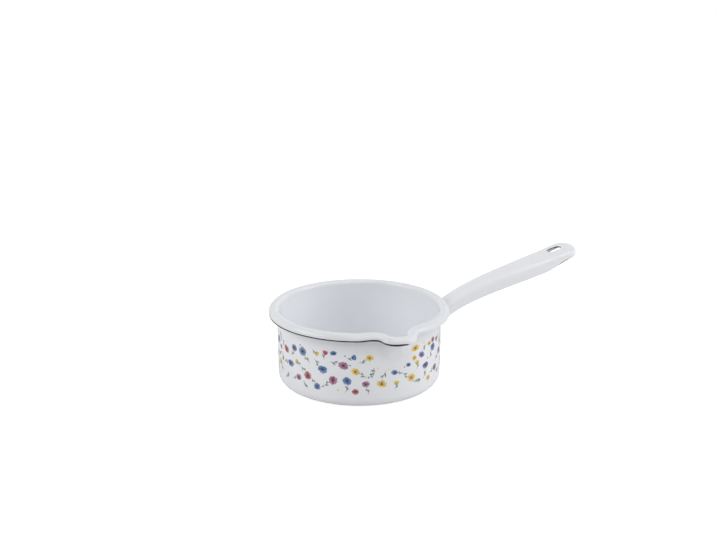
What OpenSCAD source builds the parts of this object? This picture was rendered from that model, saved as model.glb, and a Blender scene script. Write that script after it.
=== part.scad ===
// Enamelled steel saucepan: a drawn pan with a rolled rim and a pouring lip,
// and a hollow handle of two pressings welded to its wall.
// Millimetres. The origin is the centre of the base's underside and +Z is up.
// The handle points along +X, and the lip along -Y.

/* [Pan] */
// Outer diameter of the wall just below the rim
pan_d = 137.4; // [110:0.2:200]
// Height from the base to the top of the rim
pan_h = 64.8; // [50:0.2:120]
// Thickness of the sheet with its enamel
sheet_t = 1.2; // [0.8:0.1:1.8]
// How much smaller the wall's radius is at the base
wall_draft = 0.3; // [0:0.1:3]
// Outer radius of the corner between wall and base
base_corner_r = 8; // [5:0.5:14]

/* [Rim] */
// Radius of the bend that turns the wall outwards, on its outer face
rim_bend_r = 2.3; // [0.6:0.1:3]
// Outer radius of the roll
rim_roll_r = 4.8; // [3.5:0.1:6]
// Angle below level at which the white sheet ends
rim_turn = 2; // [0:1:20]
// Height of the bare dark edge that follows it
rim_edge_h = 1; // [0.6:0.1:1.6]

/* [Pouring lip] */
// How far the lip reaches out from the wall
lip_reach = 8.8; // [5:0.1:12]
// Radius of the nose's two corners, on the wall's outer face
lip_nose_r = 6.7; // [5:0.1:10]
// Length of the flat between those corners
lip_flat = 4.4; // [1:0.2:12]
// Radius that is left outside the roll where the lip begins
lip_throat_r = 5.7; // [2:0.1:9]
// How far the nose dips below the rim
lip_dip = 2.2; // [0:0.1:4]
// How far the rim rises beside the lip
lip_rise = 0.7; // [0:0.1:2]
// Half the length of rim that rises there
lip_rise_l = 9.5; // [6:0.5:16]
// Height over which the lip runs out down the wall
lip_fade = 26; // [16:1:36]

/* [Handle] */
// Distance from the wall to the tip
handle_l = 143.1; // [110:0.1:200]
// How far the handle's top lies below the rim at the wall
handle_drop = 16.2; // [14:0.2:22]
// Slope of the grip above level
handle_slope = 12.4; // [0:0.2:25]
// Height that the bend near the wall adds
handle_bow = 14; // [2:0.2:18]
// Length over which that bend eases out
handle_bow_l = 20; // [16:1:60]
// Width at the wall
handle_root_w = 18; // [14:0.5:26]
// Width of the grip
handle_grip_w = 30; // [20:0.5:34]
// Depth of the top pressing
handle_depth = 10.6; // [7:0.2:13]
// Depth of the top pressing where its nose begins
handle_tip_depth = 6.6; // [6:0.2:11]
// Depth of the top pressing at the end of its nose
handle_end_depth = 4.4; // [4:0.2:9]
// Depth of the lower pressing
handle_under_h = 2.5; // [2.4:0.1:6]
// Length of the rounded nose
handle_nose_l = 9; // [7:0.5:18]
// Distance from the tip to the end of the lower pressing
handle_open_l = 30; // [26:1:50]

/* [Hanging slot] */
// Length of the slot
slot_l = 13.2; // [10:0.2:18]
// Width of the slot
slot_w = 7.8; // [5:0.2:12]
// Distance from the tip to the slot's centre
slot_inset = 18.6; // [16:0.2:24]
// Width of the bare dark edge round the slot
slot_edge_w = 0.4; // [0.3:0.1:0.8]

/* [Welds] */
// Leg of the weld that joins the handle to the wall
weld_leg = 2.5; // [1:0.1:4]
// Height of the seam welds and of the bare edge round the tip
seam_h = 0.7; // [0.5:0.1:1.2]
// Clearance of each weld, and of the handle from the wall
root_gap = 0.1; // [0.05:0.05:0.3]

/* [Hidden] */

white_enamel = "#f2f3f3";
bare_edge = "#3a3c40";
weld_enamel = "#e6e7e8";

// Extra length of every cut
overrun = 5;

// Wall and base. The base's flat middle is a true disc that laps into the skin of the rest.
wall_r = pan_d / 2;
foot_r = wall_r - wall_draft;
bend_z = pan_h - rim_bend_r - sheet_t;
wall_tilt = atan(wall_draft / (bend_z - base_corner_r));
corner_c = [foot_r - base_corner_r, base_corner_r];
disc_share = 0.97;
skin_start_share = 0.9;

// Roll of the rim, which turns about one centre
roll_c = [wall_r + rim_bend_r, pan_h - rim_roll_r];
edge_turn = rim_turn + rim_edge_h / rim_roll_r * 180 / PI;
roll_low_z = roll_c.y - rim_roll_r * sin(edge_turn);
roll_overhang = rim_bend_r + rim_roll_r;

// Steps of the arcs and of the stretches between them
corner_steps = 5;
bend_steps = 3;
roll_steps = 7;
edge_steps = 2;
fade_steps = 5;
round_steps = 52;

// Lip: each nose corner meets a hollow throat arc, whose centre lies outside the wall
throat_r = roll_overhang + lip_throat_r;
nose_centre_r = wall_r + lip_reach - lip_nose_r;
throat_centre_r = wall_r + throat_r;
nose_angle = asin(lip_flat / 2 / nose_centre_r);
throat_angle = nose_angle + acos(
    (pow(throat_centre_r, 2) + pow(nose_centre_r, 2) - pow(throat_r + lip_nose_r, 2))
    / (2 * throat_centre_r * nose_centre_r));
nose_centre = polar(nose_centre_r, nose_angle);
throat_centre = polar(throat_centre_r, throat_angle);
meet_angle = bearing(throat_centre - nose_centre);
rise_span = lip_rise_l / wall_r * 180 / PI;
rise_angle = throat_angle + rise_span / 2;
lip_end = rise_angle + rise_span;
fade_low_z = pan_h - lip_fade;
nose_steps = 6;
throat_steps = 6;
shoulder_steps = 4;

// Handle: stations run from the wall to the centre of the nose, then fan round it
tip_x = wall_r + handle_l;
nose_x = tip_x - handle_nose_l;
open_share = (handle_l - handle_open_l) / (handle_l - handle_nose_l);
weld_share = weld_leg / (handle_l - handle_nose_l);
handle_root_z = pan_h - handle_drop;
widen_share = 0.94;
edge_lift_share = 0.2;
under_end_share = 0.45;
under_lift_share = 0.2;
squareness = 3;
body_steps = 14;
mouth_steps = 4;
fan_steps = 7;
rib_steps = 8;
under_steps = 5;
weld_hollow_share = 0.25;

// Slot
slot_x = tip_x - slot_inset;
slot_cut_h = 2 * (sheet_t + overrun);

// Direction helpers: angles are counted from the lip's or the nose's own axis
function polar(r, a) = [r * sin(a), r * cos(a)];
function bearing(v) = atan2(v.x, v.y);
function ease(t) = let (c = min(max(t, 0), 1)) c * c * (3 - 2 * c);
function mix(a, b, t) = a + (b - a) * t;
function arc(c, r, from, to, steps) =
    [for (i = [0:steps]) let (a = mix(from, to, i / steps)) c + r * [cos(a), sin(a)]];
function line(from, to, steps) = [for (i = [1:steps - 1]) mix(from, to, i / steps)];
function tail(list) = [for (i = [1:len(list) - 1]) list[i]];
function turned(list) = [for (i = [len(list) - 1:-1:0]) list[i]];

// Section of the pan, as [radius, height], from the base's underside over the rim to its inside
bend_c = [roll_c.x, bend_z];
outer_corner = arc(corner_c, base_corner_r, -90, -wall_tilt, corner_steps);
inner_corner = arc(corner_c, base_corner_r - sheet_t, -wall_tilt, -90, corner_steps);
outer_bend = arc(bend_c, rim_bend_r, 180, 90, bend_steps);
inner_bend = arc(bend_c, rim_bend_r + sheet_t, 90, 180, bend_steps);
under_roll = arc(roll_c, rim_roll_r - sheet_t, 90, -rim_turn, roll_steps);
over_roll = arc(roll_c, rim_roll_r, -rim_turn, 90, roll_steps);

function last(list) = list[len(list) - 1];
function at_height(from, to, z) = mix(from, to, (z - from.y) / (to.y - from.y));

// The wall's two faces, split where the lip runs out so that it can bulge there
function faded(from, to) =
    let (low = at_height(from, to, fade_low_z))
    from.y < to.y
        ? concat([low], line(low, to, fade_steps))
        : concat(line(from, low, fade_steps), [low]);

pan_section = concat(
    [[corner_c.x * skin_start_share, 0]],
    outer_corner,
    faded(last(outer_corner), outer_bend[0]),
    outer_bend,
    tail(under_roll),
    over_roll,
    tail(inner_bend),
    faded(last(inner_bend), inner_corner[0]),
    inner_corner,
    [[corner_c.x * skin_start_share, sheet_t]]
);

edge_section = concat(
    arc(roll_c, rim_roll_r, -edge_turn, -rim_turn, edge_steps),
    arc(roll_c, rim_roll_r - sheet_t, -rim_turn, -edge_turn, edge_steps)
);

// Plan of the pan, as [angle from the lip's axis, reach, turn of the wall's normal]
function from_axis(p, normal) =
    let (a = bearing(p)) [a, norm(p) - wall_r, normal - a];

half_plan = concat(
    [[0, lip_reach, 0]],
    [for (i = [0:nose_steps]) let (a = mix(nose_angle, meet_angle, i / nose_steps))
        from_axis(nose_centre + polar(lip_nose_r, a), a)],
    [for (i = [1:throat_steps]) let (a = mix(meet_angle, throat_angle, i / throat_steps))
        from_axis(throat_centre - polar(throat_r, a), a)],
    [for (i = [1:shoulder_steps]) [mix(throat_angle, lip_end, i / shoulder_steps), 0, 0]]
);

pan_plan = concat(
    [for (s = turned(tail(half_plan))) [-s[0], s[1], -s[2]]],
    half_plan,
    [for (i = [1:round_steps - 1]) [mix(lip_end, 360 - lip_end, i / round_steps), 0, 0]]
);

// Place of a section point at one station of the plan
function pan_point(p, s) =
    let (
        share = ease((p.y - fade_low_z) / (roll_low_z - fade_low_z)),
        r = wall_r + share * s[1],
        turn = atan(share * tan(s[2]) * (wall_r + s[1]) / r),
        rise = lip_rise * ease(1 - abs(abs(s[0]) - rise_angle) / rise_span),
        spot = polar(r, s[0]) + (p.x - wall_r) * polar(1, s[0] + turn)
    )
    [spot.x, -spot.y, p.y + share * (rise - lip_dip * s[1] / lip_reach)];

// Triangles between two rows of n points that start at a and b
function band(a, b, n) =
    [for (j = [0:n - 2]) each [[a + j, a + j + 1, b + j], [a + j + 1, b + j + 1, b + j]]];

// Triangles between two closed rings of n points
function hoop(a, b, n) =
    concat(band(a, b, n), [[a + n - 1, a, b + n - 1], [a, b, b + n - 1]]);

// Triangles with three different corners, because rings may meet in one point
function real_faces(points, faces) =
    [for (f = faces)
        if (points[f[0]] != points[f[1]] && points[f[1]] != points[f[2]] && points[f[2]] != points[f[0]]) f];

// A solid through closed rings of points, the last of which meets the first
module endless_tube(rings) {
    n = len(rings[0]);
    m = len(rings);
    polyhedron([for (r = rings) each r], [for (i = [0:m - 1]) each hoop(i * n, (i + 1) % m * n, n)]);
}

// A solid through closed rings of points. The second half of a ring runs back beside
// its first half, so that each end is capped by a strip between the two.
module tube(rings, last_cap = true) {
    n = len(rings[0]);
    points = [for (r = rings) each r];
    top = (len(rings) - 1) * n;
    strip = [for (j = [0:n / 2 - 2])
        each [[j, n - 1 - j, j + 1], [j + 1, n - 1 - j, n - 2 - j]]];
    faces = concat(
        [for (i = [0:len(rings) - 2]) each hoop(i * n, (i + 1) * n, n)],
        strip,
        last_cap ? [for (f = strip) [f[0] + top, f[2] + top, f[1] + top]] : []
    );
    polyhedron(points, real_faces(points, faces));
}

// One drawn blank: base, wall, rolled rim and pouring lip
module pan_body() {
    color(white_enamel) {
        cylinder(h = sheet_t, r = corner_c.x * disc_share, $fn = 180);
        endless_tube([for (s = pan_plan) [for (p = pan_section) pan_point(p, s)]]);
    }
}

// The sheet's last millimetre, where the dark ground coat is left bare
module rim_edge() {
    color(bare_edge)
        endless_tube([for (s = pan_plan) [for (p = edge_section) pan_point(p, s)]]);
}

// Height of the handle's top, and its slope, at a distance from the pan's axis
function top_z(x) =
    handle_root_z + (x - wall_r) * tan(handle_slope)
    + handle_bow * (1 - exp(-(x - wall_r) / handle_bow_l));
function top_slope(x) =
    atan(tan(handle_slope) + handle_bow / handle_bow_l * exp(-(x - wall_r) / handle_bow_l));

// The wall's outer face, with the root's clearance, at a sideways place and a height
function wall_x(y, z) =
    sqrt(pow(wall_r + root_gap - wall_draft * (bend_z - z) / (bend_z - base_corner_r), 2) - y * y);

// Half the handle's width by the share of the way to the nose, and the top pressing's depth
function half_w(share) =
    mix(handle_root_w, handle_grip_w, ease(share / widen_share)) / 2;
function edge_depth(st) =
    let (side = mix(handle_depth, handle_tip_depth, ease((st[0] - 1 + edge_lift_share) / edge_lift_share)))
    mix(side, handle_end_depth, sin(st[1]));
function under_depth(share) =
    sheet_t + (handle_under_h - sheet_t)
        * mix(1, under_end_share, ease((share - open_share + under_lift_share) / under_lift_share));

// Stations, as [share of the way to the nose's centre, turn round the nose]
body_stations = concat(
    [[0, 0], [weld_share, 0]],
    [for (i = [1:body_steps]) [mix(weld_share, open_share, i / body_steps), 0]]
);
mouth_stations = concat(
    [last(body_stations)],
    [for (i = [1:mouth_steps]) [mix(open_share, 1, i / mouth_steps), 0]],
    [for (i = [1:fan_steps]) [1, 90 * i / fan_steps]]
);
stations = concat(body_stations, tail(mouth_stations));

// A point of the handle, out by one share of the half width and down by a depth,
// with the sheet's thickness taken off for its inner faces
function handle_point(st, side, out_share, down, inset) =
    let (
        y = side * out_share * (half_w(st[0]) - inset) * cos(st[1]),
        x = mix(wall_x(y, handle_root_z - down), nose_x, st[0])
            + out_share * (handle_nose_l - inset) * sin(st[1])
    )
    [x, y, top_z(x) - down];

// A quarter of a squared-off ellipse, as [share out, share up], from its edge to its crown
function quarter(steps) =
    [for (i = [0:steps]) let (a = 90 * i / steps)
        [pow(cos(a), 2 / squareness), pow(sin(a), 2 / squareness)]];

// Across the handle and back: both sides of a list of quarter points
function across(quarter_points) = concat(
    [for (q = quarter_points) [1, q]],
    [for (q = tail(turned(quarter_points))) [-1, q]]
);

function shell_ring(st) =
    let (d = edge_depth(st), arch = across(quarter(rib_steps)))
    concat(
        [for (a = arch) handle_point(st, a[0], a[1][0], (1 - a[1][1]) * d, 0)],
        [for (a = turned(arch))
            handle_point(st, a[0], a[1][0], sheet_t + (1 - a[1][1]) * (d - sheet_t), sheet_t)]
    );

function trough_outer(st) =
    let (d = edge_depth(st) + seam_h, h = under_depth(st[0]))
    [for (a = across(quarter(under_steps))) handle_point(st, a[0], a[1][0], d + a[1][1] * h, 0)];

function trough_inner(st) =
    let (d = edge_depth(st) + seam_h, h = under_depth(st[0]) - sheet_t)
    [for (a = across(quarter(under_steps))) handle_point(st, a[0], a[1][0], d + a[1][1] * h, sheet_t)];

// The strip of height seam_h below the top pressing's edge, on one side
function seam_ring(st, side) =
    let (d = edge_depth(st))
    [
        handle_point(st, side, 1, d, 0),
        handle_point(st, side, 1, d + seam_h, 0),
        handle_point(st, side, 1, d + seam_h, sheet_t),
        handle_point(st, side, 1, d, sheet_t)
    ];

module top_pressing() {
    tube([for (st = stations) turned(shell_ring(st))], last_cap = false);
}

// A flat shape with round ends, grown on every side by an amount
module slot_prism(grow) {
    translate([slot_x, 0, top_z(slot_x)])
        rotate([0, -top_slope(slot_x), 0])
            linear_extrude(height = slot_cut_h, center = true) {
                square([slot_l - slot_w, slot_w + 2 * grow], center = true);
                for (end = [-1, 1])
                    translate([end * (slot_l - slot_w) / 2, 0])
                        circle(r = slot_w / 2 + grow, $fn = 48);
            }
}

// Top pressing: crowned top, side walls and closed nose, cut by the hanging slot
module handle_top_shell() {
    color(white_enamel)
        difference() {
            top_pressing();
            slot_prism(slot_edge_w);
        }
}

// Bare cut edge of the slot
module hanging_slot_edge() {
    color(bare_edge)
        intersection() {
            top_pressing();
            difference() {
                slot_prism(slot_edge_w);
                slot_prism(0);
            }
        }
}

// Lower pressing: a shallow trough that stops short of the tip
module handle_underside() {
    color(white_enamel)
        tube([for (st = body_stations) concat(trough_outer(st), turned(trough_inner(st)))]);
}

// Seam welds between the two pressings, one on each side
module handle_seam_welds() {
    color(weld_enamel) {
        tube([for (st = body_stations) seam_ring(st, 1)]);
        tube([for (st = body_stations) turned(seam_ring(st, -1))]);
    }
}

// Bare edge of the top pressing, round the tip between the ends of the seams
module handle_tip_edge() {
    color(bare_edge)
        tube(concat(
            [for (st = mouth_stations) seam_ring(st, 1)],
            [for (st = tail(turned(mouth_stations))) seam_ring(st, -1)]
        ));
}

// Fillet weld round the handle's root: against the wall, against the handle, and hollow between
module handle_root_weld() {
    outlines = [for (st = [body_stations[0], body_stations[1]])
        let (ring = shell_ring(st))
        concat([for (j = [0:len(ring) / 2 - 1]) ring[j]], turned(trough_outer(st)))];
    n = len(outlines[0]);
    color(weld_enamel)
        endless_tube([for (j = [0:n - 1])
            let (
                along = outlines[0][(j + 1) % n] - outlines[0][(j + n - 1) % n],
                out = [0, along.z, -along.y] / norm([along.y, along.z]),
                root = outlines[0][j] + root_gap * out,
                crest = outlines[1][j] + root_gap * out,
                spread = root + weld_leg * out,
                foot = [wall_x(spread.y, spread.z), spread.y, spread.z]
            )
            [root, foot, mix((crest + foot) / 2, root, weld_hollow_share), crest]]);
}

pan_body();
rim_edge();
handle_top_shell();
handle_underside();
handle_seam_welds();
handle_tip_edge();
hanging_slot_edge();
handle_root_weld();
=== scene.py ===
import math
import random

import bmesh
import bpy
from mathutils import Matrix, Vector, noise


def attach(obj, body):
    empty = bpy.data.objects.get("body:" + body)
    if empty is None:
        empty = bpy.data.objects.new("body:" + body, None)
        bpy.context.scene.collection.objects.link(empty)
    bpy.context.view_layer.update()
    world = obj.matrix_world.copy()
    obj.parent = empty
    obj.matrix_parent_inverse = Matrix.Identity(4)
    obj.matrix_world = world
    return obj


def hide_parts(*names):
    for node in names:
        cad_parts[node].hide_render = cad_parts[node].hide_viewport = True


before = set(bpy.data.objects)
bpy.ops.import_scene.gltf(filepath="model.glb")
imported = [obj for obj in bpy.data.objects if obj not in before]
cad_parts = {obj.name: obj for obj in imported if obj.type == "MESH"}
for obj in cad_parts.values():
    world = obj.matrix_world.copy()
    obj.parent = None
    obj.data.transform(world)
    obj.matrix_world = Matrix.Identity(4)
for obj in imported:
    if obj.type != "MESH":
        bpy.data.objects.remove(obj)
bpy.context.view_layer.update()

bl_info = {
    "name": "Enamelled saucepan",
    "version": (1, 0, 0),
    "blender": (4, 5, 0),
    "location": "3D Viewport > Sidebar > Saucepan",
    "description": "Dresses the saucepan's CAD frame with smooth enamelled pieces and a studio",
    "category": "Add Mesh",
}

MM = 0.001
WHITE = [1.0, 1.0, 1.0, 1.0]

QUARTER = math.pi / 2

# Mesh steps of the pan's section, of its plan, of the handle's length and of its sections
CORNER_STEPS, WALL_STEPS, OUTER_BEND_STEPS, INNER_BEND_STEPS = 12, 44, 10, 12
UNDER_ROLL_STEPS, OVER_ROLL_STEPS = 18, 26
FLAT_STEPS, NOSE_STEPS, THROAT_STEPS, ROUND_STEPS = 4, 16, 18, 330
BODY_STEPS, MOUTH_STEPS, TIP_STEPS, SLOT_STEPS = 70, 18, 24, 28
SHELL_STEPS, TROUGH_STEPS = 22, 16
FLOOR_STEPS, PETAL_STEPS, DISC_STEPS = 48, 12, 9

ARCH_POWER = 3  # of the superellipse that the handle's squared-off section follows
# Shares of the handle's length: where it is widest, where its depth starts to ease to the tip's
# and over what length, and over what length the lower pressing eases to what share of its depth
WIDEST, TIP_EASE, TIP_EASE_L, UNDER_EASE_L, UNDER_LEFT = 0.94, 0.8, 0.2, 0.2, 0.45
# And from which share the tip's edge is bare, up to which on the lip's side, and how it eases
BARE_FROM, BARE_TO, BARE_EASE_L = 0.885, 0.985, 0.03

# How many degrees the white coat draws back along the rim's edge, and where it does so more:
# bearing from the lip and half width in radians, and degrees
DRAWN_BACK = 3.5
# Where it draws back more, beside and under the lip, the wider dark band is partly painted shade
DRAWN_BACK_AND_SHADE_MORE = ((-0.35, 0.4, 3.5), (-0.045, 0.08, 6.0))
# What share of the bare edge the coat covers, and where it is less or more: bearing and span in
# radians of the start and of the end, and the change
COVERED = 0.3
# Between lip and handle the whiter edge is partly painted highlight, which also lightens the shade
# at the lip's throat
COVER_AND_HIGHLIGHT_CHANGES = (((-1.9, 0.2), (0.05, 0.04), -0.45), ((0.02, 0.04), (1.3, 0.3), 0.55))


def linear(colour):
    """An sRGB hex colour as linear red, green, blue and alpha."""
    parts = [int(colour[i:i + 2], 16) / 255 for i in (1, 3, 5)]
    return [c / 12.92 if c <= 0.04045 else ((c + 0.055) / 1.055) ** 2.4 for c in parts] + [1.0]


def length(name, value, description):
    """A length in metres that is written in millimetres."""
    return bpy.props.FloatProperty(
        name=name, description=description, default=value * MM, min=0.0, precision=5, unit="LENGTH"
    )


def angle(name, value, description):
    """An angle in radians that is written in degrees."""
    return bpy.props.FloatProperty(
        name=name, description=description, default=math.radians(value), unit="ROTATION"
    )


def colour(name, value, description):
    """A linear colour that is written as sRGB hex."""
    return bpy.props.FloatVectorProperty(
        name=name, description=description, default=linear(value), size=4, min=0.0, max=1.0,
        subtype="COLOR",
    )


class SAUCEPAN_PG_pan(bpy.types.PropertyGroup):
    """Sizes of the drawn pan, its rim and its lip"""

    wall_d: length("Wall diameter", 137.4, "Outer diameter of the wall below the rim")
    height: length("Height", 64.8, "From the base to the top of the rim")
    sheet: length("Sheet", 1.2, "Thickness of the steel with its enamel")
    draft: length("Draft", 0.3, "How much smaller the wall's radius is at the base")
    corner_r: length("Base corner", 8, "Outer radius between wall and base")
    bend_r: length("Rim bend", 2.3, "Outer radius of the bend under the rim")
    roll_r: length("Rim roll", 4.8, "Outer radius of the roll")
    white_end: angle("White end", 2, "Angle below level at which the white enamel ends")
    edge_h: length("Dark edge", 1, "Height of the bare edge that follows it")
    edge_waver: angle("Waver", 2.2, "How far the white enamel's end wavers along the roll")
    lip_reach: length("Lip reach", 8.8, "How far the lip reaches out from the wall")
    lip_nose_r: length("Lip corner", 6.7, "Radius of the nose's two corners")
    lip_flat: length("Lip flat", 4.4, "Length of the flat between those corners")
    lip_throat_r: length("Lip throat", 5.7, "Radius left outside the roll where the lip begins")
    lip_dip: length("Lip dip", 2.2, "How far the nose dips below the rim")
    lip_rise: length("Lip rise", 0.7, "How far the rim rises beside the lip")
    lip_rise_l: length("Rise length", 9.5, "Half the length of rim that rises")
    lip_fade: length("Lip fade", 26, "Height over which the lip runs out down the wall")


class SAUCEPAN_PG_handle(bpy.types.PropertyGroup):
    """Sizes of the handle, its slot and its welds"""

    length: length("Length", 143.1, "From the wall to the tip")
    drop: length("Drop", 16.2, "How far the handle's top lies below the rim at the wall")
    slope: angle("Slope", 12.4, "Slope of the grip above level")
    bow: length("Bow", 14, "Height that the bend near the wall adds")
    bow_l: length("Bow length", 20, "Length over which that bend eases out")
    root_w: length("Root width", 18, "Width at the wall")
    grip_w: length("Grip width", 30, "Width of the grip")
    depth: length("Depth", 10.6, "Depth of the top pressing")
    tip_depth: length("Tip depth", 6.6, "Depth of the top pressing where its nose begins")
    end_depth: length("End depth", 4.4, "Depth of the top pressing at the end of its nose")
    under_h: length("Lower pressing", 2.5, "Depth of the lower pressing")
    nose_l: length("Nose", 9, "Length of the rounded nose")
    open_l: length("Open tip", 30, "From the tip to the end of the lower pressing")
    slot_l: length("Slot length", 13.2, "Length of the hanging slot")
    slot_w: length("Slot width", 7.8, "Width of the hanging slot")
    slot_inset: length("Slot inset", 18.6, "From the tip to the slot's centre")
    slot_edge_w: length("Slot edge", 0.4, "Width of the bare edge round the slot")
    weld_leg: length("Weld leg", 2.5, "Leg of the weld at the root")
    seam_h: length("Seam height", 0.7, "Height of the seam welds and of the tip's bare edge")
    root_gap: length("Root gap", 0.1, "Clearance of each weld, and of the handle from the wall")


class SAUCEPAN_PG_print(bpy.types.PropertyGroup):
    """Sizes and colours of the scattered flower print"""

    low: length("Low", 11.5, "Height of the print's lower edge")
    high: length("High", 50, "Height of the print's upper edge")
    gap: length("Gap", 0.3, "Least distance between two motifs")
    proud: length("Proud", 0.05, "How far the fired ink stands out of the enamel")
    root_clear: length("Clear of root", 15, "Half width of the bare place round the handle's root")
    lip_clear: length("Clear of lip", 15, "Half width of the bare place under the lip")
    lip_low: length("Bare under lip", 36, "Height from which the wall under the lip is bare")
    seed: bpy.props.IntProperty(name="Seed", description="Start of the scatter", default=11)
    yellow: colour("Yellow", "#EFD030", "Yellow petals")
    amber: colour("Amber", "#D98A1E", "Amber petals")
    pink: colour("Pink", "#A81C74", "Pink petals")
    coral: colour("Coral", "#BE1A2E", "Coral petals")
    violet: colour("Violet", "#4F3C9C", "Violet petals")
    blue: colour("Blue", "#0A6CB4", "Blue petals")
    navy: colour("Navy", "#14163A", "Dots and flower centres")
    leaf: colour("Leaf", "#5F8070", "Leaves and stems")


class SAUCEPAN_PG_finish(bpy.types.PropertyGroup):
    """Colours of the enamel and of its bare edges"""

    enamel: colour("Enamel", "#F3F5F8", "White cover coat")
    enamel_thin: colour("Thin enamel", "#E7EAED", "Where the cover coat is thinner")
    edge: colour("Edge", "#17181B", "Dark ground coat on the bare edges")
    edge_worn: colour("Worn edge", "#3E4145", "Lighter patches of the ground coat")
    floor: colour("Floor", "#F0F0F0", "Studio floor")


def mix(a, b, t):
    return a + (b - a) * t


def clamp(t):
    return min(max(t, 0.0), 1.0)


def ease(t):
    t = clamp(t)
    return t * t * (3 - 2 * t)


def grey(value):
    return [value, value, value, 1.0]


def from_lip(a):
    """A bearing as -pi to pi from the lip's axis."""
    return (a + math.pi) % (math.tau) - math.pi


def polar(r, a):
    """A point at a bearing that is counted from the local +Y axis."""
    return Vector((r * math.sin(a), r * math.cos(a)))


def even(start, end, steps):
    """Numbers at even steps, with both ends."""
    return [mix(start, end, i / steps) for i in range(steps + 1)]


def arc(centre, r, start, end, steps):
    """Points of an arc, with both ends."""
    x, y = centre
    return [(x + r * math.cos(a), y + r * math.sin(a)) for a in even(start, end, steps)]


def line(start, end, steps):
    """Points between two ends, without them."""
    return list(zip(*(even(a, b, steps)[1:-1] for a, b in zip(start, end))))


def waver(a, waves, seed):
    """A smooth closed ripple from -1 to 1 along a full turn."""
    r = waves / (math.tau)
    return noise.noise(Vector((r * math.cos(a), r * math.sin(a), seed * 7.31))) * 1.6


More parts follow.
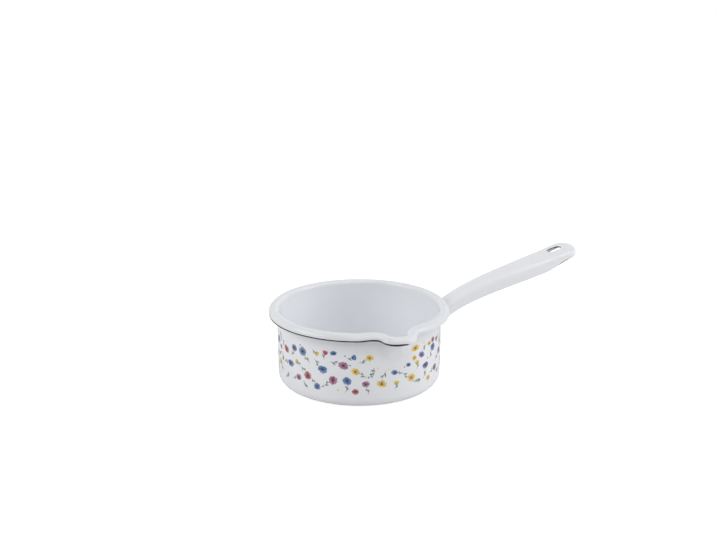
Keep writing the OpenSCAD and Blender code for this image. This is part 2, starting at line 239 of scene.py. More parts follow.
class PanShape:
    """Wall, rim and lip as one skin, by the same formulas as the CAD's."""

    def __init__(self, sizes):
        self.s = s = sizes
        self.wall_r = s.wall_d / 2
        foot_r = self.wall_r - s.draft
        self.bend_z = s.height - s.bend_r - s.sheet
        self.tilt = math.atan(s.draft / (self.bend_z - s.corner_r))
        self.corner = (foot_r - s.corner_r, s.corner_r)
        self.roll = (self.wall_r + s.bend_r, s.height - s.roll_r)
        self.bend = (self.roll[0], self.bend_z)
        self.edge_turn = s.white_end + s.edge_h / s.roll_r
        self.roll_low_z = self.roll[1] - s.roll_r * math.sin(self.edge_turn)
        self.fade_low_z = s.height - s.lip_fade
        self.stations = self.plan()
        # Where the wall leaves the round, between two stations on the round
        bent = [station for station in self.stations if station[1] > 0.0]
        self.bent = [(bent[0][0] - 1e-6, 0.0, 0.0), *bent, (bent[-1][0] + 1e-6, 0.0, 0.0)]

    def plan(self):
        """Stations round the pan, as angle from the lip, reach and turn of the wall's normal."""
        s = self.s
        throat_r = s.bend_r + s.roll_r + s.lip_throat_r
        nose_centre_r = self.wall_r + s.lip_reach - s.lip_nose_r
        throat_centre_r = self.wall_r + throat_r
        nose_a = math.asin(s.lip_flat / 2 / nose_centre_r)
        spread = throat_centre_r**2 + nose_centre_r**2 - (throat_r + s.lip_nose_r) ** 2
        throat_a = nose_a + math.acos(spread / (2 * throat_centre_r * nose_centre_r))
        nose = polar(nose_centre_r, nose_a)
        throat = polar(throat_centre_r, throat_a)
        meet = math.atan2(*(throat - nose))
        self.rise_span = s.lip_rise_l / self.wall_r
        self.rise_a = throat_a + self.rise_span / 2
        lip_end = self.rise_a + self.rise_span

        def station(p, normal):
            a = math.atan2(*p)
            return (a, p.length - self.wall_r, normal - a)

        half = [(a, s.lip_reach, 0.0) for a in even(0.0, nose_a, FLAT_STEPS)[:-1]]
        for a in even(nose_a, meet, NOSE_STEPS):
            half.append(station(nose + polar(s.lip_nose_r, a), a))
        for a in even(meet, throat_a, THROAT_STEPS)[1:]:
            half.append(station(throat - polar(throat_r, a), a))
        half += [(a, 0.0, 0.0) for a in even(throat_a, lip_end, THROAT_STEPS)[1:]]
        back = [(-a, reach, -turn) for a, reach, turn in reversed(half[1:])]
        rest = even(lip_end, math.tau - lip_end, ROUND_STEPS)[1:-1]
        return back + half + [(a, 0.0, 0.0) for a in rest]

    def fall(self, z):
        """How much smaller the wall's radius is at a height than at the rim."""
        return self.s.draft * (self.bend_z - z) / (self.bend_z - self.s.corner_r)

    def place(self, p, station, out=0.0):
        """Where a section point comes to lie at one station, moved out along the normal."""
        s = self.s
        a, reach, normal = station
        share = ease((p[1] - self.fade_low_z) / (self.roll_low_z - self.fade_low_z))
        r = self.wall_r + share * reach
        turn = math.atan(share * math.tan(normal) * (self.wall_r + reach) / r)
        rise = s.lip_rise * ease(1 - abs(abs(a) - self.rise_a) / self.rise_span)
        spot = polar(r, a) + (p[0] - self.wall_r + out) * polar(1, a + turn)
        return (spot.x, -spot.y, p[1] + share * (rise - s.lip_dip * reach / s.lip_reach))

    def white_end(self, a):
        """The angle at which the white enamel ends, which wavers along the roll.
        It ends higher beside the lip, where the coat pulled back from the bend and where the wider
        dark band is partly painted shade under the roll and the lip."""
        a = from_lip(a)
        # Beside the lip the wider dark band is partly painted shade
        more = sum(by * ease(1 - abs(a - at) / half) for at, half, by in DRAWN_BACK_AND_SHADE_MORE)
        return self.s.white_end - math.radians(DRAWN_BACK + more) + self.s.edge_waver * (
            0.65 * waver(a, 11, 1) + 0.35 * waver(a, 37, 2)
        )

    def section(self, a):
        """The skin from the middle of the underside over the rim to the middle of the inside."""
        s = self.s
        turn = self.white_end(a)
        foot = arc(self.corner, s.corner_r, -QUARTER, -self.tilt, CORNER_STEPS)
        outer = arc(self.bend, s.bend_r, math.pi, QUARTER, OUTER_BEND_STEPS)
        under = arc(self.roll, s.roll_r - s.sheet, QUARTER, -turn, UNDER_ROLL_STEPS)
        over = arc(self.roll, s.roll_r, -turn, QUARTER, OVER_ROLL_STEPS)
        inner = arc(self.bend, s.bend_r + s.sheet, QUARTER, math.pi, INNER_BEND_STEPS)
        floor = arc(self.corner, s.corner_r - s.sheet, -self.tilt, -QUARTER, CORNER_STEPS)
        base = [(foot[0][0] * f, 0.0) for f in (0.02, 0.35, 0.7, 0.97)]
        inside = [(foot[0][0] * f, s.sheet) for f in (0.97, 0.7, 0.35, 0.02)]
        return (
            base + foot + line(foot[-1], outer[0], WALL_STEPS) + outer + under[1:] + over
            + inner[1:] + line(inner[-1], floor[0], WALL_STEPS) + floor + inside
        )

    def edge_section(self, a):
        """The bare edge, which goes on from the white end and is rounded over."""
        s = self.s
        half_sheet = s.sheet / 2
        middle = s.roll_r - half_sheet
        start, end = self.white_end(a), self.edge_turn - 0.5 * half_sheet / middle
        tip = (self.roll[0] + middle * math.cos(end), self.roll[1] - middle * math.sin(end))
        c, d = math.cos(end), math.sin(end)
        rounded = []
        for across, along in arc((0.0, 0.0), half_sheet, 0.0, math.pi, 8):
            rounded.append((tip[0] + across * c - 0.5 * along * d,
                            tip[1] - across * d - 0.5 * along * c))
        return (
            arc(self.roll, s.roll_r, -start, -end, 5) + rounded[1:]
            + arc(self.roll, s.roll_r - s.sheet, -end, -start, 5)[1:]
        )

    def edge_cover_and_highlight(self, a):
        """How far down the bare edge the white coat has flowed, as a share of its points.
        It is thinnest beside the lip's left, and nearly closed between lip and handle,
        where the white is partly painted highlight."""
        a = from_lip(a)
        cover_and_highlight = COVERED + 0.16 * waver(a, 23, 3) + 0.1 * waver(a, 71, 4)
        for (start, rise), (end, drop), by in COVER_AND_HIGHLIGHT_CHANGES:
            cover_and_highlight += by * ease((a - start) / rise) * ease((end - a) / drop)
        return clamp(cover_and_highlight)

    def on_wall(self, along, z, out):
        """A point of the outer wall by its distance from the lip's axis along the wall."""
        a = from_lip(along / self.wall_r)
        station = (a, 0.0, 0.0)
        for before, after in zip(self.bent, self.bent[1:]):
            if before[0] <= a <= after[0]:
                t = (a - before[0]) / (after[0] - before[0])
                station = (a, mix(before[1], after[1], t), mix(before[2], after[2], t))
                break
        return self.place((self.wall_r - self.fall(z), z), station, out)


class HandleShape:
    """The handle's two pressings, by the same formulas as the CAD's."""

    def __init__(self, sizes, pan):
        self.s = s = sizes
        self.pan = pan
        self.sheet = pan.s.sheet
        self.tip_x = pan.wall_r + s.length
        self.nose_x = self.tip_x - s.nose_l
        self.open_share = (s.length - s.open_l) / (s.length - s.nose_l)
        self.root_z = pan.s.height - s.drop
        weld_share = s.weld_leg / (s.length - s.nose_l)
        body = even(weld_share, self.open_share, BODY_STEPS)
        self.body = [(share, 0.0) for share in [0.0] + body]
        self.mouth = [(share, 0.0) for share in even(self.open_share, 1.0, MOUTH_STEPS)]
        self.mouth += [(1.0, turn) for turn in even(0.0, QUARTER, TIP_STEPS)[1:]]

    def top_z(self, x):
        run = x - self.pan.wall_r
        bow = self.s.bow * (1 - math.exp(-run / self.s.bow_l))
        return self.root_z + run * math.tan(self.s.slope) + bow

    def top_slope(self, x):
        run = x - self.pan.wall_r
        bend = self.s.bow / self.s.bow_l * math.exp(-run / self.s.bow_l)
        return math.atan(math.tan(self.s.slope) + bend)

    def wall_x(self, y, z):
        return math.sqrt((self.pan.wall_r + self.s.root_gap - self.pan.fall(z)) ** 2 - y * y)

    def half_w(self, share):
        return mix(self.s.root_w, self.s.grip_w, ease(share / WIDEST)) / 2

    def edge_depth(self, station):
        lift = ease((station[0] - TIP_EASE) / TIP_EASE_L)
        side = mix(self.s.depth, self.s.tip_depth, lift)
        return mix(side, self.s.end_depth, math.sin(station[1]))

    def under_depth(self, share):
        lift = ease((share - self.open_share + UNDER_EASE_L) / UNDER_EASE_L)
        return self.sheet + (self.s.under_h - self.sheet) * mix(1.0, UNDER_LEFT, lift)

    def point(self, station, side, out_share, down, inset):
        """A point out by a share of the half width and down by a depth."""
        share, turn = station
        y = side * out_share * (self.half_w(share) - inset) * math.cos(turn)
        wall = self.wall_x(y, self.root_z - down)
        x = mix(wall, self.nose_x, share) + out_share * (self.s.nose_l - inset) * math.sin(turn)
        return (x, y, self.top_z(x) - down)

    @staticmethod
    def across(steps):
        """Side, share out and share up of a squared-off arch, with even steps along it."""
        power = 2 / ARCH_POWER
        fine = [(math.cos(a) ** power, math.sin(a) ** power) for a in even(0.0, QUARTER, 400)]
        run = [0.0]
        for p, q in zip(fine, fine[1:]):
            run.append(run[-1] + math.dist(p, q))
        quarter, k = [], 0
        for want in even(0.0, run[-1], steps):
            while k < len(run) - 2 and run[k + 1] < want:
                k += 1
            t = (want - run[k]) / (run[k + 1] - run[k])
            quarter.append(tuple(mix(fine[k][j], fine[k + 1][j], t) for j in (0, 1)))
        return [(1, *q) for q in quarter] + [(-1, *q) for q in quarter[-2::-1]]

    def pressing_ring(self, station, steps, edge, rise):
        """Outer and inner arch of a pressing, from the depth of its edge and the way down from
        there to its crown, which is negative where the crown lies above."""
        t, arch = self.sheet, self.across(steps)
        inside = rise - math.copysign(t, rise)
        outer = [self.point(station, s, o, edge + u * rise, 0.0) for s, o, u in arch]
        return outer + [
            self.point(station, s, o, edge + u * inside, t) for s, o, u in arch[::-1]
        ]

    def shell_ring(self, station):
        d = self.edge_depth(station)
        return self.pressing_ring(station, SHELL_STEPS, d, -d)

    def trough_ring(self, station):
        d, h = self.edge_depth(station) + self.s.seam_h, self.under_depth(station[0])
        return self.pressing_ring(station, TROUGH_STEPS, d, h)

    def seam_ring(self, station, side, swell):
        """The strip below the top pressing's edge, whose outer face swells by a little."""
        d, h, t = self.edge_depth(station), self.s.seam_h, self.sheet
        ring = []
        for f in even(0.0, 1.0, 4):
            out = swell * math.sin(math.pi * f)
            ring.append(self.point(station, side, 1.0, d + f * h, -out))
        return ring + [self.point(station, side, 1.0, down, t) for down in (d + h, d)]


def joined(rings, closed=False, last_cap=True, open_rings=False):
    """Points and faces of a skin through rings; caps are strips between a ring's halves."""
    n, m = len(rings[0]), len(rings)
    points = [p for ring in rings for p in ring]
    faces = []
    for i in range(m if closed else m - 1):
        a, b = i * n, (i + 1) % m * n
        for j in range(n - open_rings):
            k = (j + 1) % n
            faces.append((a + j, b + j, b + k, a + k))
    if not closed:
        strip = [(j, j + 1, n - 2 - j, n - 1 - j) for j in range(n // 2 - 1)]
        if n % 2:
            strip.append((n // 2 - 1, n // 2, n // 2 + 1))
        top = (m - 1) * n
        faces += strip
        faces += [tuple(top + k for k in reversed(f)) for f in strip] if last_cap else []
    return points, faces


def smooth(bm, sharp=35.0):
    """Smooths all faces but for the edges that are sharper than an angle in degrees."""
    for face in bm.faces:
        face.smooth = True
    for edge in bm.edges:
        if len(edge.link_faces) == 2:
            edge.smooth = edge.calc_face_angle() < math.radians(sharp)


def put(name, points, faces, material, slot, *nodes, sharp=35.0, tints=()):
    """Makes a piece from points and faces, smooth but for its edges, in place of CAD nodes.
    Tints are one linear colour for each point, which the material reads as "tint"."""
    old = bpy.data.objects.get(name)
    if old:
        bpy.data.objects.remove(old)
    mesh = bpy.data.meshes.new(name)
    mesh.from_pydata(points, [], faces)
    if mesh.validate():
        mesh.update()
    if tints:
        layer = mesh.color_attributes.new("tint", "FLOAT_COLOR", "POINT")
        for value, tint in zip(layer.data, tints):
            value.color = tint
    bm = bmesh.new()
    bm.from_mesh(mesh)
    bmesh.ops.remove_doubles(bm, verts=bm.verts, dist=1e-7)
    bmesh.ops.dissolve_degenerate(bm, edges=bm.edges, dist=1e-7)
    bmesh.ops.recalc_face_normals(bm, faces=bm.faces)
    smooth(bm, sharp)
    bm.to_mesh(mesh)
    bm.free()
    mesh.materials.append(material)
    piece = placed(name, mesh)
    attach(piece, "root")
    if nodes:
        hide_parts(*nodes)
    return piece


def add(tree, kind, settings=(), **links):
    """Adds a node, sets its properties or sockets, and links sockets by name, or by number
    after an underscore. A node that is linked stands for its first output in use."""
    node = tree.nodes.new(kind)
    for key, value in dict(settings).items():
        if key in node.inputs:
            node.inputs[key].default_value = value
        else:
            setattr(node, key, value)
    for key, source in links.items():
        if isinstance(source, bpy.types.Node):
            source = next(out for out in source.outputs if not out.is_unavailable)
        socket = int(key[1:]) if key[0] == "_" else key.replace("_", " ")
        tree.links.new(source, node.inputs[socket])
    return node


def fresh_material(name):
    """An empty node material and its tree."""
    old = bpy.data.materials.get(name)
    if old:
        bpy.data.materials.remove(old)
    material = bpy.data.materials.new(name)
    material.use_nodes = True
    material.node_tree.nodes.clear()
    return material, material.node_tree


def vitreous_enamel(name, finish, peel_mm=2.6, peel_depth_mm=0.012):
    """Titanium-white vitreous enamel, sprayed on and fired at 820 degrees.
    Glass-smooth gloss over a faint orange peel, a little greyer where the coat is thinner."""
    material, tree = fresh_material(name)
    place = add(tree, "ShaderNodeTexCoord").outputs["Object"]
    # Coat thickness changes over some 30 mm, which gives the eye a faint cloudiness
    cloud = add(tree, "ShaderNodeTexNoise", {"Scale": 1 / (30 * MM), "Detail": 2.0}, Vector=place)
    cloudy = add(tree, "ShaderNodeMapRange", {"To Max": 0.35}, Value=cloud)
    # The tint says where the coat ran thin over a bend
    bent = add(tree, "ShaderNodeAttribute", {"attribute_name": "tint"})
    thin = add(
        tree, "ShaderNodeMath", {"operation": "ADD", "use_clamp": True},
        _0=cloudy, _1=bent.outputs["Fac"],
    )
    tint = add(
        tree, "ShaderNodeMix",
        {"data_type": "RGBA", "A": list(finish.enamel), "B": list(finish.enamel_thin)},
        Factor=thin,
    )
    # Peel is some 3 mm wide; its depth is drawn at 12 micrometres so that reflections waver
    peel = add(
        tree, "ShaderNodeTexNoise", {"Scale": 1 / (peel_mm * MM), "Detail": 1.5, "Roughness": 0.4},
        Vector=place,
    )
    bump = add(
        tree, "ShaderNodeBump", {"Strength": 0.35, "Distance": peel_depth_mm * MM}, Height=peel
    )
    haze = add(tree, "ShaderNodeMapRange", {"To Min": 0.09, "To Max": 0.16}, Value=cloud)
    # IOR of titania-opacified glass
    shader = add(
        tree, "ShaderNodeBsdfPrincipled", {"IOR": 1.52},
        Base_Color=tint, Roughness=haze, Normal=bump,
    )
    add(tree, "ShaderNodeOutputMaterial", Surface=shader)
    return material


def ground_coat(name, finish):
    """Cobalt ground-coat enamel, left bare where the white coat was wiped off the sheet's edge.
    Blue-black and satin, with paler worn patches."""
    material, tree = fresh_material(name)
    place = add(tree, "ShaderNodeTexCoord").outputs["Object"]
    # Patches some 4 mm long, as wiping leaves them
    patch = add(
        tree, "ShaderNodeTexNoise", {"Scale": 1 / (4 * MM), "Detail": 4.0, "Roughness": 0.6},
        Vector=place,
    )
    worn = add(tree, "ShaderNodeMapRange", {"From Min": 0.48, "From Max": 0.72}, Value=patch)
    tone = add(
        tree, "ShaderNodeMix",
        {"data_type": "RGBA", "A": list(finish.edge), "B": list(finish.edge_worn)}, Factor=worn,
    )
    # Grain of 0.5 mm, the bare coat's pitted surface
    grain = add(tree, "ShaderNodeTexNoise", {"Scale": 1 / (0.5 * MM)}, Vector=place)
    bump = add(tree, "ShaderNodeBump", {"Strength": 0.5, "Distance": 0.03 * MM}, Height=grain)
    # The tint says where the white coat has flowed over the edge; on the rim between lip and
    # handle it is partly painted highlight
    cover_and_highlight = add(tree, "ShaderNodeAttribute", {"attribute_name": "tint"})
    coat = add(
        tree, "ShaderNodeMix", {"data_type": "RGBA", "B": list(finish.enamel_thin)},
        Factor=cover_and_highlight.outputs["Fac"], A=tone,
    )
    shader = add(
        tree, "ShaderNodeBsdfPrincipled", {"IOR": 1.45, "Roughness": 0.5},
        Base_Color=coat, Normal=bump,
    )
    add(tree, "ShaderNodeOutputMaterial", Surface=shader)
    return material


def fired_ink(name):
    """Ceramic transfer ink, printed in flat colours and fired into the enamel.
    Glossy as the enamel, with the uneven wash of a screened colour."""
    material, tree = fresh_material(name)
    place = add(tree, "ShaderNodeTexCoord").outputs["Object"]
    ink = add(tree, "ShaderNodeAttribute", {"attribute_name": "tint"})
    # Wash spots of 1.2 mm, about a petal's half width
    wash = add(tree, "ShaderNodeTexNoise", {"Scale": 1 / (1.2 * MM), "Detail": 2.0}, Vector=place)
    fade = add(
        tree, "ShaderNodeMapRange", {"From Min": 0.35, "From Max": 0.8, "To Max": 0.14},
        Value=wash,
    )
    # Where the wash is thin, the white enamel shows through
    tone = add(
        tree, "ShaderNodeMix", {"data_type": "RGBA", "B": linear("#F0F1F2")},
        Factor=fade, A=ink.outputs["Color"],
    )
    shader = add(
        tree, "ShaderNodeBsdfPrincipled", {"IOR": 1.52, "Roughness": 0.14}, Base_Color=tone
    )
    add(tree, "ShaderNodeOutputMaterial", Surface=shader)
    return material


def placed(name, data):
    """Adds an object for a mesh, a lamp or a camera to the scene."""
    made = bpy.data.objects.new(name, data)
    bpy.context.scene.collection.objects.link(made)
    return made


def shapes(scene):
    """The pan's and the handle's shapes from the sizes in the panel, and the finish."""
    pan = PanShape(scene.saucepan_pan)
    return pan, HandleShape(scene.saucepan_handle, pan), scene.saucepan_finish


class SAUCEPAN_OT_pan(bpy.types.Operator):
    """Make the drawn pan: base, wall, rolled rim and pouring lip"""

    bl_idname = "saucepan.pan"
    bl_label = "Pan"

    def execute(self, context):
        pan, _, finish = shapes(context.scene)
        rings, tints = [], []
        for station in pan.stations:
            section = pan.section(station[0])
            rings.append([pan.place(p, station) for p in section])
            # The coat ran thin over the rim's bend
            tints += [grey(ease((p[0] - pan.wall_r) / pan.s.bend_r)) for p in section]
        tints += [grey(0.0)] * 2
        n, m = len(rings[0]), len(rings)
        points, faces = joined(rings, closed=True, open_rings=True)
        for row, z in ((0, 0.0), (n - 1, pan.s.sheet)):
            points.append((0.0, 0.0, z))
            hub = len(points) - 1
            faces += [(hub, i * n + row, (i + 1) % m * n + row) for i in range(m)]
        material = vitreous_enamel("vitreous_enamel_white", finish)
        put("pan_enamel_skin", points, faces, material, "white_enamel", "pan_body", tints=tints)
        return {"FINISHED"}


class SAUCEPAN_OT_rim_edge(bpy.types.Operator):
    """Make the dark bare edge that ends the rolled rim"""

    bl_idname = "saucepan.rim_edge"
    bl_label = "Rim edge"

    def execute(self, context):
        pan, _, finish = shapes(context.scene)
        rings, tints = [], []
        for station in pan.stations:
            rings.append([pan.place(p, station) for p in pan.edge_section(station[0])])
            # How far the white reaches down the edge; between lip and handle it is partly painted
            # highlight
            reach = 9 * pan.edge_cover_and_highlight(station[0])
            tints += [grey(clamp(reach - i)) for i in range(len(rings[-1]))]
        material = ground_coat("ground_coat_edge", finish)
        put(
            "rim_bare_edge", *joined(rings, closed=True), material, "bare_dark_edge", "rim_edge",
            tints=tints,
        )
        return {"FINISHED"}


def slot_outline(handle, grow):
    """The slot's outline in its own plane, as place along, place across and outward normal."""
    s = handle.s
    half = (s.slot_l - s.slot_w) / 2
    points = []
    for end, back in ((1, 0.0), (-1, math.pi)):
        for a in even(back - QUARTER, back + QUARTER, SLOT_STEPS):
            r, c, d = s.slot_w / 2 + grow, math.cos(a), math.sin(a)
            points.append((end * half + r * c, r * d, c, d))
    return points


def slot_place(handle, along, across, up):
    """A point of the slot's plane, moved along the plane's normal, in the object's frame."""
    x = handle.tip_x - handle.s.slot_inset
    tilt = handle.top_slope(x)
    return (
        x + along * math.cos(tilt) - up * math.sin(tilt),
        across,
        handle.top_z(x) + along * math.sin(tilt) + up * math.cos(tilt),
    )


def crown_fall(handle, along, across):
    """How far the crowned top lies below the slot's plane."""
    s = handle.s
    share = 1 - (s.slot_inset - s.nose_l - along) / (s.length - s.nose_l)
    out = abs(across) / handle.half_w(share)
    return (1 - (1 - out**ARCH_POWER) ** (1 / ARCH_POWER)) * handle.edge_depth((share, 0.0))


class SAUCEPAN_OT_handle_top(bpy.types.Operator):
    """Make the handle's top pressing, with its hanging slot"""

    bl_idname = "saucepan.handle_top"
    bl_label = "Handle top"

    def execute(self, context):
        _, handle, finish = shapes(context.scene)
        material = vitreous_enamel("vitreous_enamel_handle", finish, 3.2)
        stations = handle.body + handle.mouth[1:]
        rings = [handle.shell_ring(st) for st in stations]
        shell = put(
            "handle_top_enamel", *joined(rings, last_cap=False), material, "white_enamel",
            "handle_top_shell",
        )
        reach = handle.sheet + 5 * MM
        outline = slot_outline(handle, handle.s.slot_edge_w)
        points = [slot_place(handle, a, c, up) for up in (reach, -reach) for a, c, _, _ in outline]
        n = len(outline)
        faces = [(j, (j + 1) % n, n + (j + 1) % n, n + j) for j in range(n)]
        faces += [range(n), range(2 * n - 1, n - 1, -1)]
        cutter = put("slot_cutter", points, faces, material, "white_enamel")
        cut = shell.modifiers.new("hanging_slot", "BOOLEAN")
        cut.operation = "DIFFERENCE"
        cut.solver = "EXACT"
        cut.object = cutter
        evaluated = shell.evaluated_get(context.evaluated_depsgraph_get())
        mesh = bpy.data.meshes.new_from_object(evaluated)
        shell.modifiers.clear()
        shell.data = mesh
        bpy.data.objects.remove(cutter)
        bm = bmesh.new()
        bm.from_mesh(mesh)
        smooth(bm)
        bm.to_mesh(mesh)
        bm.free()
        if len(mesh.polygons) < 1000:
            raise RuntimeError("The hanging slot's cut left too little of the handle's top")
        return {"FINISHED"}


class SAUCEPAN_OT_slot_edge(bpy.types.Operator):
    """Make the bare dark edge round the hanging slot"""

    bl_idname = "saucepan.slot_edge"
    bl_label = "Slot edge"

    def execute(self, context):
        _, handle, finish = shapes(context.scene)
        w, t = handle.s.slot_edge_w, handle.sheet
        # Section from the outer side over the top, down the rounded inner face, and back
        section = [(w, 0.0), (w * 0.55, 0.0), (w * 0.2, -0.1 * MM), (0.0, -0.35 * MM)]
        section += [(0.0, -t + 0.35 * MM), (w * 0.2, -t + 0.1 * MM), (w * 0.55, -t), (w, -t)]
        rings = []
        for a, c, na, nc in slot_outline(handle, 0.0):
            fall = crown_fall(handle, a, c)
            rings.append([
                slot_place(handle, a + o * na, c + o * nc, up - fall) for o, up in section
            ])
        # The white coat reaches the very edge on top, and rounds the lower corner
        tints = [grey(v) for v in (1.0, 0.8, 0.2, 0.0, 0.2, 1.0, 1.0, 1.0)] * len(rings)
        material = ground_coat("ground_coat_slot", finish)
        put(
            "slot_bare_edge", *joined(rings, closed=True), material, "bare_dark_edge",
            "hanging_slot_edge", sharp=60.0, tints=tints,
        )
        return {"FINISHED"}


class SAUCEPAN_OT_handle_under(bpy.types.Operator):
    """Make the handle's lower pressing"""

    bl_idname = "saucepan.handle_under"
    bl_label = "Handle underside"

    def execute(self, context):
        _, handle, finish = shapes(context.scene)
        material = vitreous_enamel("vitreous_enamel_underside", finish, 3.2)
        rings = [handle.trough_ring(st) for st in handle.body]
        put("handle_under_enamel", *joined(rings), material, "white_enamel", "handle_underside")
        return {"FINISHED"}


class SAUCEPAN_OT_tip_edge(bpy.types.Operator):
    """Make the dark bare edge round the handle's open tip"""

    bl_idname = "saucepan.tip_edge"
    bl_label = "Tip edge"

    def execute(self, context):
        _, handle, finish = shapes(context.scene)
        path = [(1, st) for st in handle.mouth] + [(-1, st) for st in handle.mouth[-2::-1]]
        rings, tints = [], []
        for side, st in path:
            rings.append(handle.seam_ring(st, side, 0.0))
            # The white coat thins out half way along the opening and closes again at the nose
            bare = ease((st[0] - BARE_FROM) / BARE_EASE_L)
            if side > 0:
                bare *= 1 - ease((st[1] - 0.25) / 0.4)
            else:
                bare *= ease((BARE_TO - st[0]) / BARE_EASE_L)
            tints += [grey(1 - bare)] * len(rings[-1])
        material = ground_coat("ground_coat_tip", finish)
        put(
            "tip_bare_edge", *joined(rings), material, "bare_dark_edge", "handle_tip_edge",
            tints=tints,
        )
        return {"FINISHED"}


class SAUCEPAN_OT_welds(bpy.types.Operator):
    """Make the seam welds along the handle and the fillet weld at its root"""

    bl_idname = "saucepan.welds"
    bl_label = "Welds"

    def execute(self, context):
        _, handle, finish = shapes(context.scene)
        # Ripples of a hand-held torch, 4 mm apart, drowned in enamel
        material = vitreous_enamel("vitreous_enamel_weld", finish, 4.0, 0.12)
        points, faces = [], []
        for side in (1, -1):
            rings = [handle.seam_ring(st, side, 0.12 * MM) for st in handle.body]
            p, f = joined(rings)
            faces += [tuple(len(points) + k for k in face) for face in f]
            points += p
        put(
            "seam_weld_beads", points, faces, material, "enamelled_weld", "handle_seam_welds",
            sharp=60.0,
        )
        outlines = []
        for st in handle.body[:2]:
            top, under = handle.shell_ring(st), handle.trough_ring(st)
            outlines.append(top[:len(top) // 2] + under[:len(under) // 2][::-1])
        rings = []
        n = len(outlines[0])
        for j in range(n):
            before, after = outlines[0][(j - 1) % n], outlines[0][(j + 1) % n]
            along = Vector((0, after[1] - before[1], after[2] - before[2])).normalized()
            out = Vector((0, along.z, -along.y))
            off = 0.2 * handle.s.root_gap * out
            root, crest = (Vector(outline[j]) + off for outline in outlines)
            swell = 1 + 0.07 * noise.noise(root / (4 * MM))
            spread = root + handle.s.weld_leg * swell * out
            wall = handle.wall_x(spread.y, spread.z) - handle.s.root_gap
            foot = Vector((wall, spread.y, spread.z))
            hollow = mix((crest + foot) / 2, root, 0.45)
            ring = [root]
            for t in even(0.0, 1.0, 8):
                ring.append(foot * (1 - t) ** 2 + hollow * 2 * t * (1 - t) + crest * t * t)
            rings.append([tuple(p) for p in ring])
        put(
            "root_weld_fillet", *joined(rings, closed=True), material, "enamelled_weld",
            "handle_root_weld", sharp=50.0,
        )
        return {"FINISHED"}


class InkSheet:
    """Thin closed flat shapes that follow the pan's wall, with a colour at each point."""

    def __init__(self, pan, proud, leaf, rng):
        self.pan, self.proud, self.leaf, self.rng = pan, proud, leaf, rng
        self.points, self.faces, self.inks = [], [], []

    def fan(self, centre, outline, layer, middle_ink, *edge_inks):
        """A shape from its outline and one inner point, all as distance along the wall and height.
        It has one edge ink for all of the outline or one for each of its points."""
        top = self.proud * (1 + 0.5 * layer)
        start, n = len(self.points), len(outline)
        for height in (top, -self.proud):
            for i, (along, z) in enumerate([centre] + outline):
                self.points.append(self.pan.on_wall(along, z, height))
                self.inks.append(middle_ink if i == 0 else edge_inks[(i - 1) % len(edge_inks)])
        for j in range(n):
            k = (j + 1) % n
            a, b = start + 1 + j, start + 1 + k
            self.faces += [(start, a, b), (start + n + 1, b + n + 1, a + n + 1)]
            self.faces.append((a, a + n + 1, b + n + 1, b))

    def stroke(self, path, width, ink):
        """A tapering stroke along a path, in the lowest layer."""
        for i in range(len(path) - 1):
            (x0, z0), (x1, z1) = path[i], path[i + 1]
            run = math.hypot(x1 - x0, z1 - z0) or 1.0
            nx, nz = -(z1 - z0) / run, (x1 - x0) / run
            w0 = width * (1 - 0.45 * i / len(path)) / 2
            w1 = width * (1 - 0.45 * (i + 1) / len(path)) / 2
            outline = [(x0 - nx * w0, z0 - nz * w0), (x1 - nx * w1, z1 - nz * w1)]
            outline += [(x1 + nx * w1, z1 + nz * w1), (x0 + nx * w0, z0 + nz * w0)]
            self.fan(((x0 + x1) / 2, (z0 + z1) / 2), outline, 0, ink, ink)


def turned(p, centre, a):
    c, s = math.cos(a), math.sin(a)
    return (centre[0] + p[0] * c - p[1] * s, centre[1] + p[0] * s + p[1] * c)


def ahead(centre, a, reach):
    return turned((reach, 0.0), centre, a)


def shade(ink, factor):
    return [min(1.0, c * factor) for c in ink[:3]] + [1.0]


def blend(a, b, t):
    return [mix(p, q, t) for p, q in zip(a, b)]


def pale(ink, share):
    return blend(ink, [0.86, 0.86, 0.86, 1.0], share)


def draw_petal(sheet, centre, a, start, reach, width, layer, root, tip, squash=(0.0, 1.0)):
    """A petal that points along an angle from a centre, dark at its root and pale at its tip."""
    outline, tones = [], []
    lean, flat = squash

    def leant(p):
        p = turned(p, (0.0, 0.0), a - lean)
        return turned((p[0], p[1] * flat), centre, lean)

    mid, half = (start + reach) / 2, (reach - start) / 2
    for t in even(0.0, math.tau, PETAL_STEPS)[:-1]:
        far = (1 + math.cos(t)) / 2
        side = width / 2 * math.sin(t) * mix(0.7, 1.3, far)
        outline.append(leant((mid + half * math.cos(t), side)))
        tones.append(blend(root, tip, ease(far * 1.2)))
    sheet.fan(leant((mid, 0.0)), outline, layer, blend(root, tip, 0.45), *tones)


def draw_disc(sheet, centre, r, layer, middle, edge):
    outline = arc(centre, r, 0.0, math.tau, DISC_STEPS)[:-1]
    sheet.fan(centre, outline, layer, middle, edge)


def draw_leaf(sheet, centre, a, reach, width):
    """A pointed leaf in two halves, one darker than the other."""
    for side in (1, -1):
        outline = [ahead(centre, a, reach * t) for t in even(0.0, 1.0, 4)]
        for t in (0.8, 0.55, 0.3, 0.1):
            p = (reach * t, side * width / 2 * math.sin(math.pi * t**0.8))
            outline.append(turned(p, centre, a))
        tone = shade(sheet.leaf, sheet.rng.uniform(*((0.8, 0.95) if side > 0 else (1.0, 1.2))))
        inner = turned((reach * 0.5, side * width * 0.2), centre, a)
        sheet.fan(inner, outline, 0, pale(tone, 0.15), tone)


def bent_path(start, a, reach, bend, steps=5):
    """A path that leaves at an angle and bends evenly."""
    path, here = [start], start
    for i in range(steps):
        turn = a + bend * (i / (steps - 1) - 0.5)
        here = ahead(here, turn, reach / steps)
        path.append(here)
    return path


